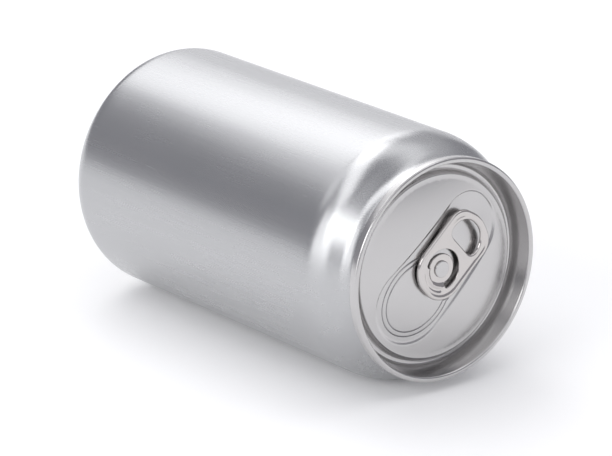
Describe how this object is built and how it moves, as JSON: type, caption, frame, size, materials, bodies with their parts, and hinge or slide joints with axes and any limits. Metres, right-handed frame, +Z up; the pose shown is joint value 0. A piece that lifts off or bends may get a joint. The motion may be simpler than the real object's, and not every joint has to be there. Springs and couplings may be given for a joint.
{
  "type": "soda can",
  "caption": "Shut bare aluminium soda can lying on its side, with a necked shoulder, double-seamed lid, stay-on tab and domed base.",
  "frame": {"origin": "under the middle of the lying can, on the surface that it rests on", "axes": "+X along the can's axis towards the lid, +Z up, +Y to the right as seen facing the lid"},
  "size_m": [0.1222, 0.0662, 0.0657],
  "materials": {
    "body_metal": "brushed",
    "lid_metal": "satin",
    "tab_metal": "satin"
  },
  "bodies": {
    "root": {"can_body": "body_metal", "lid": "lid_metal", "tab": "tab_metal"}
  },
  "joints": []
}
